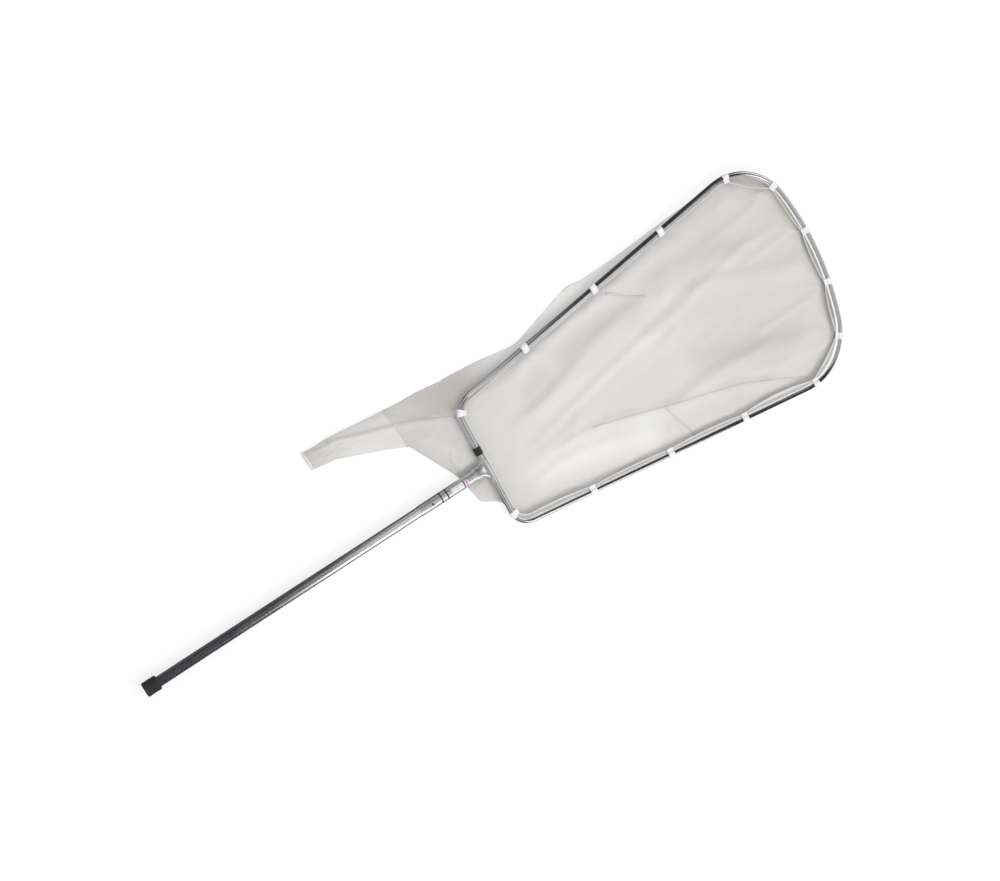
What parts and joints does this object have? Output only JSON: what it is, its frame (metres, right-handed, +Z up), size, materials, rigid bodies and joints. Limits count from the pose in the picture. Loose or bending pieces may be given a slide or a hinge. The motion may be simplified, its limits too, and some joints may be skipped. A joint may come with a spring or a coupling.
{
  "type": "scoop net",
  "caption": "Long-handled scoop net: a bent-tube hoop in a flared tee socket, a deep fine-mesh bag with an open tail, clips round the rim and a twist-lock pole.",
  "frame": {"origin": "on the ground under the middle of the net's whole length, on the pole's centre line", "axes": "+X along the pole towards the hoop, +Y across the hoop to the side where the tail lies, +Z up"},
  "size_m": [2.2744, 0.6946, 0.04],
  "materials": {
    "pole_aluminium": "bright drawn and polished",
    "hoop_aluminium": "bright drawn and polished",
    "cast_aluminium": "polished, with a faint weld line",
    "black_plastic": "fine moulded grain",
    "clip_plastic": "white, faintly lilac",
    "bag_mesh": "fine woven nylon mesh",
    "tail_mesh": "fine woven nylon mesh, doubled",
    "hem_tape": "woven tape, cream white",
    "cap_rubber": "matt black",
    "grey_plastic": "moulded",
    "nylon": "natural nylon",
    "label_film": "plain printed film",
    "black_mark": "printed film"
  },
  "bodies": {
    "frame": {"yoke_tee": "cast_aluminium", "hoop_tube": "hoop_aluminium", "frame_clip_01": "clip_plastic", "frame_clip_02": "clip_plastic", "frame_clip_03": "clip_plastic", "frame_clip_04": "clip_plastic", "frame_clip_05": "clip_plastic", "frame_clip_06": "clip_plastic", "frame_clip_07": "clip_plastic", "frame_clip_08": "clip_plastic", "frame_clip_09": "clip_plastic", "frame_clip_10": "clip_plastic", "frame_clip_11": "clip_plastic", "frame_clip_12": "clip_plastic", "frame_clip_13": "clip_plastic", "frame_clip_14": "clip_plastic", "mouth_hem": "hem_tape", "bag_side_band": "bag_mesh", "bag_lower_panel": "bag_mesh", "bag_throat_panel": "bag_mesh", "tail_sleeve": "tail_mesh", "tail_hem": "hem_tape", "socket_label": "label_film", "depth_band_1": "black_mark", "depth_band_2": "black_mark", "twist_mark": "black_mark"},
    "collar": {"joint_collar": "black_plastic"},
    "lock": {"expander_sleeve": "nylon"},
    "pole": {"pole_tube": "pole_aluminium", "lock_spindle": "grey_plastic", "pole_end_cap": "cap_rubber"}
  },
  "joints": [
    {"name": "collar_slide", "type": "slide", "parent": "frame", "child": "collar", "axis": [0, 1, 0], "range_m": [0, 0.06]},
    {"name": "pole_slide", "type": "slide", "parent": "frame", "child": "lock", "axis": [-1, 0, 0], "range_m": [0, 0.15]},
    {"name": "pole_twist", "type": "hinge", "parent": "lock", "child": "pole", "pos_m": [-0.17217, 0, 0.02], "axis": [1, 0, 0], "range_deg": [-180, 180]}
  ]
}
